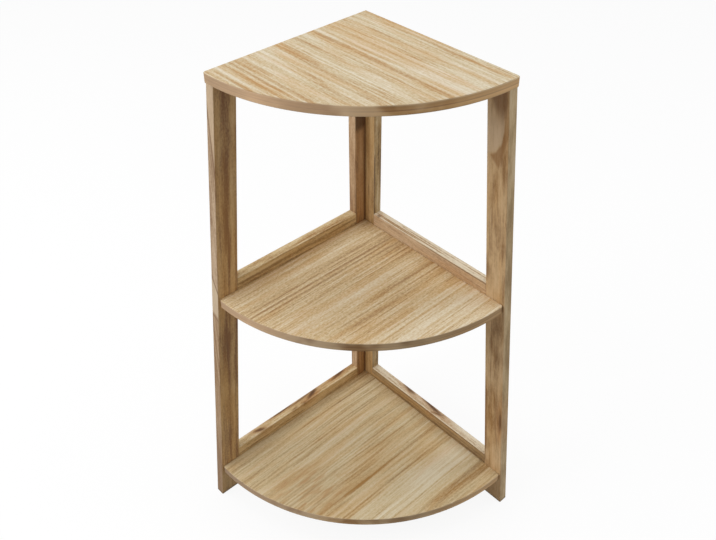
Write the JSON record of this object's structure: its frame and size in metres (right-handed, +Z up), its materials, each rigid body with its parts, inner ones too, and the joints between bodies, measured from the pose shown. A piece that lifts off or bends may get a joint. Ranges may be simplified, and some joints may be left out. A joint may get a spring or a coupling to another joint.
{
  "type": "corner shelf",
  "caption": "Free-standing wooden corner shelf with quarter-round shelves between ladder side frames that meet at the back corner and taper towards the top.",
  "frame": {"origin": "on the floor, at the centre of the square footprint between the wall faces and the fronts of the feet", "axes": "+Z up; the left frame's wall face looks to -X and the right frame's wall face to +Y, so the back corner is at -X +Y and the open front looks to +X and -Y"},
  "size_m": [0.3, 0.3, 0.648],
  "materials": {
    "post_wood": "sanded, thin matt clear coat, straight grain along the board",
    "rail_wood": "sanded, thin matt clear coat, straight grain along the rail",
    "shelf_wood": "straight-grained faces over a layered core, sanded, thin matt clear coat",
    "dowel_wood": "plain turned hardwood",
    "screw_steel": "zinc plated"
  },
  "bodies": {
    "root": {"left_front_post": "post_wood", "left_rear_stile": "post_wood", "right_front_post": "post_wood", "right_rear_stile": "post_wood", "left_top_rail": "rail_wood", "left_middle_rail": "rail_wood", "left_low_rail": "rail_wood", "right_top_rail": "rail_wood", "right_middle_rail": "rail_wood", "right_low_rail": "rail_wood", "top_shelf": "shelf_wood", "middle_shelf": "shelf_wood", "low_shelf": "shelf_wood", "left_top_rail_dowels": "dowel_wood", "left_middle_rail_dowels": "dowel_wood", "left_low_rail_dowels": "dowel_wood", "right_top_rail_dowels": "dowel_wood", "right_middle_rail_dowels": "dowel_wood", "right_low_rail_dowels": "dowel_wood", "corner_screws": "screw_steel", "top_shelf_screws": "screw_steel", "middle_shelf_screws": "screw_steel", "low_shelf_screws": "screw_steel"}
  },
  "joints": []
}
